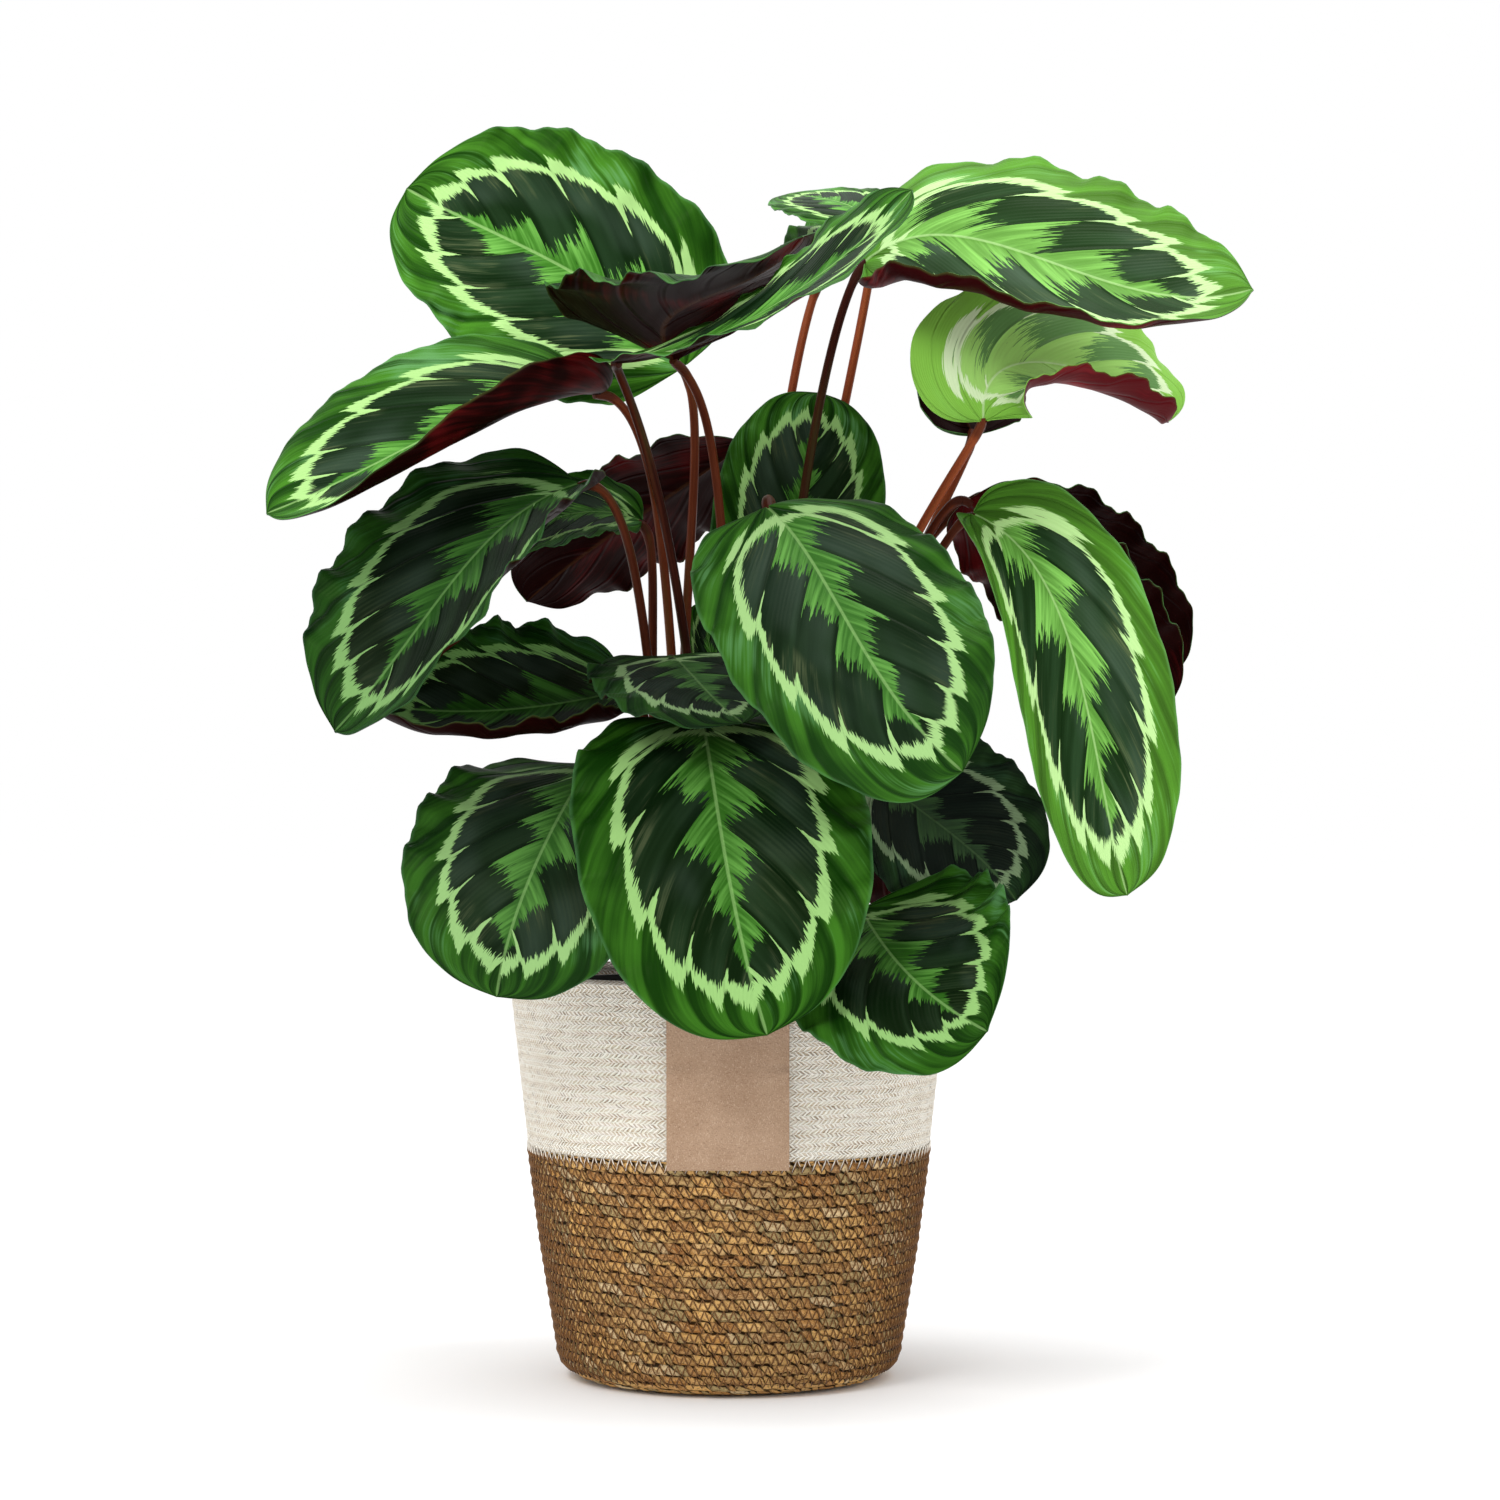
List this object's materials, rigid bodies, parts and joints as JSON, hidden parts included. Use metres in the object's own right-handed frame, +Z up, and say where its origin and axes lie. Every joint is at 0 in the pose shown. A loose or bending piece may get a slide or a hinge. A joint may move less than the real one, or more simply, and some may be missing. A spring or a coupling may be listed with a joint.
{
  "type": "potted plant",
  "caption": "Leafy house plant with patterned oval leaves on long stems, in a nursery pot that stands in a woven rope basket with a card tag over the rim.",
  "frame": {"origin": "centre of the basket's flat underside, at the height that it stands on", "axes": "+Z up, -Y to the front where the card tag hangs, +X to the right of someone who looks at the front"},
  "size_m": [0.5654, 0.4441, 0.7495],
  "materials": {
    "seagrass": "coiled seagrass rope, matte",
    "cotton_rope": "off-white cotton rope, matte",
    "kraft_card": "bare kraft card, matte",
    "pot_plastic": "black, satin",
    "potting_soil": "dark and crumbly",
    "leaf_green": "green with a pale ring and a dark red underside, satin",
    "stem_red_brown": "red-brown, satin"
  },
  "bodies": {
    "root": {"basket_seagrass": "seagrass", "basket_cotton_band": "cotton_rope", "card_tag": "kraft_card", "nursery_pot": "pot_plastic", "potting_soil": "potting_soil", "leaf_top_left_blade": "leaf_green", "leaf_top_left_stem": "stem_red_brown", "leaf_top_curled_blade": "leaf_green", "leaf_top_curled_stem": "stem_red_brown", "leaf_top_middle_blade": "leaf_green", "leaf_top_middle_stem": "stem_red_brown", "leaf_top_back_blade": "leaf_green", "leaf_top_back_stem": "stem_red_brown", "leaf_top_right_blade": "leaf_green", "leaf_top_right_stem": "stem_red_brown", "leaf_left_high_blade": "leaf_green", "leaf_left_high_stem": "stem_red_brown", "leaf_left_mid_blade": "leaf_green", "leaf_left_mid_stem": "stem_red_brown", "leaf_left_low_blade": "leaf_green", "leaf_left_low_stem": "stem_red_brown", "leaf_left_back_blade": "leaf_green", "leaf_left_back_stem": "stem_red_brown", "leaf_left_small_blade": "leaf_green", "leaf_left_small_stem": "stem_red_brown", "leaf_centre_back_blade": "leaf_green", "leaf_centre_back_stem": "stem_red_brown", "leaf_centre_front_blade": "leaf_green", "leaf_centre_front_stem": "stem_red_brown", "leaf_centre_shelf_blade": "leaf_green", "leaf_centre_shelf_stem": "stem_red_brown", "leaf_front_low_blade": "leaf_green", "leaf_front_low_stem": "stem_red_brown", "leaf_front_left_low_blade": "leaf_green", "leaf_front_left_low_stem": "stem_red_brown", "leaf_front_right_low_blade": "leaf_green", "leaf_front_right_low_stem": "stem_red_brown", "leaf_right_low_blade": "leaf_green", "leaf_right_low_stem": "stem_red_brown", "leaf_right_droop_blade": "leaf_green", "leaf_right_droop_stem": "stem_red_brown", "leaf_right_back_near_blade": "leaf_green", "leaf_right_back_near_stem": "stem_red_brown", "leaf_right_back_far_blade": "leaf_green", "leaf_right_back_far_stem": "stem_red_brown", "leaf_right_high_blade": "leaf_green", "leaf_right_high_stem": "stem_red_brown", "leaf_right_high_back_blade": "leaf_green", "leaf_right_high_back_stem": "stem_red_brown", "leaf_inner_blade": "leaf_green", "leaf_inner_stem": "stem_red_brown", "leaf_back_low_blade": "leaf_green", "leaf_back_low_stem": "stem_red_brown", "leaf_back_right_low_blade": "leaf_green", "leaf_back_right_low_stem": "stem_red_brown", "leaf_back_left_low_blade": "leaf_green", "leaf_back_left_low_stem": "stem_red_brown", "leaf_back_high_blade": "leaf_green", "leaf_back_high_stem": "stem_red_brown"}
  },
  "joints": []
}
